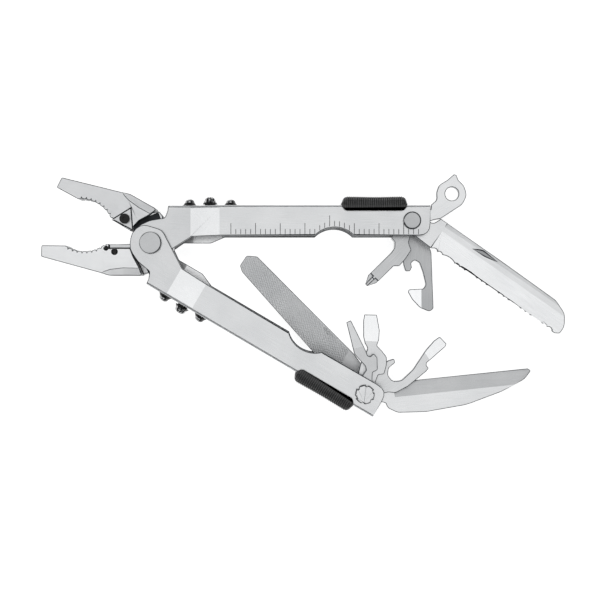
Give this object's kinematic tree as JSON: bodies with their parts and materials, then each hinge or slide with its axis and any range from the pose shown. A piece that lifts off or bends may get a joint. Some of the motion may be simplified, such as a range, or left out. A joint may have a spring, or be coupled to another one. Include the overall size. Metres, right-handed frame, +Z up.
{
  "type": "multi tool",
  "caption": "Plier-type pocket multi tool lying fanned open: two folded steel handles, blunt-nosed jaws and folding blades, drivers, openers, file and lanyard ring.",
  "frame": {"origin": "main hinge axis, at the face of the lower hinge rivet the tool rests on", "axes": "+X along the upper handle from the hinge to its rear axle, +Z up out of the table, jaws towards -X"},
  "size_m": [0.2144, 0.0985, 0.0177],
  "materials": {
    "steel": "fine bead-blasted and satin stainless",
    "bright_steel": "polished stainless",
    "file_steel": "cross-cut file face",
    "cutter_steel": "ground hard metal",
    "black_steel": "black oxide",
    "black_grip": "ribbed black"
  },
  "bodies": {
    "upper_frame": {"upper_handle": "steel", "upper_front_stud": "bright_steel", "upper_rear_stud": "bright_steel", "upper_rear_axle": "bright_steel", "upper_axle_nut": "bright_steel", "lower_jaw": "steel", "anvil_plate": "cutter_steel", "anvil_pin": "black_steel", "anvil_stop_pin": "black_steel", "jaw_pin": "steel", "near_hinge_rivet": "bright_steel", "far_hinge_rivet": "bright_steel"},
    "lower_frame": {"lower_handle": "steel", "lower_front_stud": "bright_steel", "lower_rear_stud": "bright_steel", "lower_rear_axle": "bright_steel", "lower_axle_nut": "bright_steel", "upper_jaw": "steel", "cutter_insert": "cutter_steel", "cutter_screw": "black_steel"},
    "upper_release_button": {"upper_release_button": "bright_steel"},
    "lower_release_button": {"lower_release_button": "bright_steel"},
    "upper_lock_slider": {"upper_lock_slider": "black_grip"},
    "lower_lock_slider": {"lower_lock_slider": "black_grip"},
    "lanyard_ring": {"lanyard_ring": "steel"},
    "serrated_blade": {"serrated_blade": "steel"},
    "phillips_driver": {"phillips_driver": "steel"},
    "can_opener": {"can_opener": "steel"},
    "narrow_driver": {"narrow_driver": "steel"},
    "wide_driver": {"wide_driver": "steel"},
    "bottle_opener": {"bottle_opener": "steel"},
    "plain_blade": {"plain_blade": "steel"},
    "file": {"file": "file_steel"}
  },
  "joints": [
    {"name": "handle_hinge", "type": "hinge", "parent": "upper_frame", "child": "lower_frame", "pos_m": [0, 0, 0.0087], "axis": [0, 0, -1], "range_deg": [-21, 12]},
    {"name": "lanyard_ring_pivot", "type": "hinge", "parent": "upper_frame", "child": "lanyard_ring", "pos_m": [0.106, 0.009, 0.0087], "axis": [0, 0, 1], "range_deg": [-200, 0]},
    {"name": "serrated_blade_pivot", "type": "hinge", "parent": "upper_frame", "child": "serrated_blade", "pos_m": [0.106, 0.009, 0.0087], "axis": [0, 0, -1], "range_deg": [-36, 60]},
    {"name": "phillips_driver_pivot", "type": "hinge", "parent": "upper_frame", "child": "phillips_driver", "pos_m": [0.106, 0.009, 0.0087], "axis": [0, 0, 1], "range_deg": [-44.5, 125]},
    {"name": "can_opener_pivot", "type": "hinge", "parent": "upper_frame", "child": "can_opener", "pos_m": [0.106, 0.009, 0.0087], "axis": [0, 0, 1], "range_deg": [-90, 85]},
    {"name": "narrow_driver_pivot", "type": "hinge", "parent": "lower_frame", "child": "narrow_driver", "pos_m": [0.08687, -0.0614, 0.0087], "axis": [0, 0, -1], "range_deg": [-46.3, 130]},
    {"name": "wide_driver_pivot", "type": "hinge", "parent": "lower_frame", "child": "wide_driver", "pos_m": [0.08687, -0.0614, 0.0087], "axis": [0, 0, -1], "range_deg": [-63, 115]},
    {"name": "bottle_opener_pivot", "type": "hinge", "parent": "lower_frame", "child": "bottle_opener", "pos_m": [0.08687, -0.0614, 0.0087], "axis": [0, 0, -1], "range_deg": [-110, 62]},
    {"name": "plain_blade_pivot", "type": "hinge", "parent": "lower_frame", "child": "plain_blade", "pos_m": [0.08687, -0.0614, 0.0087], "axis": [0, 0, 1], "range_deg": [-36, 60]},
    {"name": "file_pivot", "type": "hinge", "parent": "lower_frame", "child": "file", "pos_m": [0.08687, -0.0614, 0.0087], "axis": [0, 0, -1], "range_deg": [-18, 45]},
    {"name": "upper_release_press", "type": "slide", "parent": "upper_frame", "child": "upper_release_button", "axis": [0, -1, 0], "range_m": [0, 0.0008], "stiffness_N_per_m": 2000},
    {"name": "lower_release_press", "type": "slide", "parent": "lower_frame", "child": "lower_release_button", "axis": [0.506, 0.8625, 0], "range_m": [0, 0.0008], "stiffness_N_per_m": 2000},
    {"name": "upper_lock_slide", "type": "slide", "parent": "upper_frame", "child": "upper_lock_slider", "axis": [1, 0, 0], "range_m": [-0.004, 0]},
    {"name": "lower_lock_slide", "type": "slide", "parent": "lower_frame", "child": "lower_lock_slider", "axis": [0.8625, -0.506, 0], "range_m": [-0.004, 0]}
  ]
}
